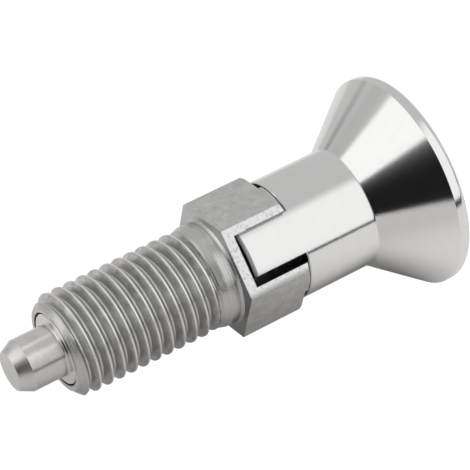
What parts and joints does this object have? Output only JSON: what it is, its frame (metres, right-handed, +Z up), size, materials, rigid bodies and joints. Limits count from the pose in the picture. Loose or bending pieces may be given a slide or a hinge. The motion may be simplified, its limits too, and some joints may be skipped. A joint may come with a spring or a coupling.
{
  "type": "indexing plunger",
  "caption": "Spring-loaded index pin in a threaded sleeve with a hexagon head and a conical pull knob; lugs on the knob park the pin when it is pulled and turned.",
  "frame": {"origin": "on the plunger's axis, at the hexagon's seating face, where the part meets the plate it is screwed into", "axes": "+X along the axis from the pin's tip towards the pull knob, +Z up, normal to one flat of the hexagon"},
  "size_m": [0.0513, 0.025, 0.025],
  "materials": {
    "satin_steel": "turned and milled stainless steel, satin",
    "ground_steel": "ground stainless steel",
    "spring_steel": "drawn spring wire",
    "polished_steel": "polished stainless steel"
  },
  "bodies": {
    "sleeve": {"guide_body": "satin_steel"},
    "coil": {"spring": "spring_steel"},
    "plunger": {"index_pin": "ground_steel", "pull_knob": "polished_steel"}
  },
  "joints": [
    {"name": "turn", "type": "hinge", "parent": "sleeve", "child": "coil", "pos_m": [0, 0, 0], "axis": [1, 0, 0], "range_deg": [0, 7.6]},
    {"name": "pull", "type": "slide", "parent": "coil", "child": "plunger", "axis": [1, 0, 0], "range_m": [0, 0.0066], "stiffness_N_per_m": 1500, "springref_m": -0.0045, "deforming": ["spring"]}
  ]
}
